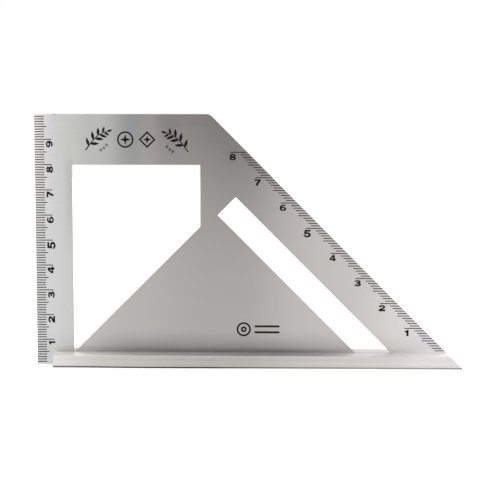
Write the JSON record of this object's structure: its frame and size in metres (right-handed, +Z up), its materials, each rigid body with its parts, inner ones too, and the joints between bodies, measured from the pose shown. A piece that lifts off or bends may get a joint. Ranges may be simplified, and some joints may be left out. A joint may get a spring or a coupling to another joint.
{
  "type": "three-way mitre square",
  "caption": "Flat trapezoidal steel marking square with a T-section fence, a vertical edge, a 45 degree edge, a large window and an angled slot.",
  "frame": {"origin": "centre of the sole: under the middle plane of the blade, half way between the blade's vertical edge and the sharp tip", "axes": "+X along the fence from the vertical edge to the 45 degree tip, +Y from the face with the scales to the back face, +Z up from the sole to the top edge"},
  "size_m": [0.1694, 0.016, 0.1],
  "materials": {
    "blade_steel": "satin, fine brushing along the length",
    "rail_steel": "ground along the length",
    "pin_steel": "ground flush",
    "mark_black": "matt black engraving fill"
  },
  "bodies": {
    "root": {"blade": "blade_steel", "front_rail": "rail_steel", "rear_rail": "rail_steel", "rail_pin_1": "pin_steel", "rail_pin_2": "pin_steel", "rail_pin_3": "pin_steel", "rail_pin_4": "pin_steel", "rail_pin_5": "pin_steel", "rail_pin_6": "pin_steel"}
  },
  "joints": []
}
